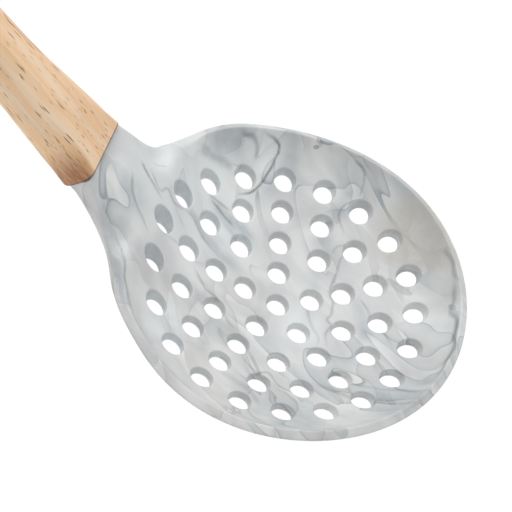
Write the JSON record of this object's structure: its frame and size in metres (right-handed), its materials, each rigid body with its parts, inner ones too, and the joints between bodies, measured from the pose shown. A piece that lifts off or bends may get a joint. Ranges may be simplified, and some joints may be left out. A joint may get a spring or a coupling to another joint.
{
  "type": "perforated skimmer scoop",
  "caption": "Kitchen skimmer: a round marbled silicone bowl full of drain holes, moulded over a stiff core and glued to a tapered wooden handle with a hanging hole.",
  "frame": {"origin": "centre of the middle drain hole, half-way through the bowl floor", "axes": "+Z is the way the bowl opens and the drain holes run, +X points to the bowl's tip, and the handle rises toward -X at 37.5 degrees"},
  "size_m": [0.293, 0.1094, 0.1689],
  "materials": {
    "silicone": "satin silicone, marbled pale grey with blue-grey veins",
    "stiff_nylon": "glass-filled nylon, matt",
    "wood": "oiled light hardwood with short dark pores",
    "glue": "cured epoxy, slightly yellow"
  },
  "bodies": {
    "root": {"silicone_head": "silicone", "core": "stiff_nylon", "wood_handle": "wood", "glue_bond": "glue"}
  },
  "joints": []
}
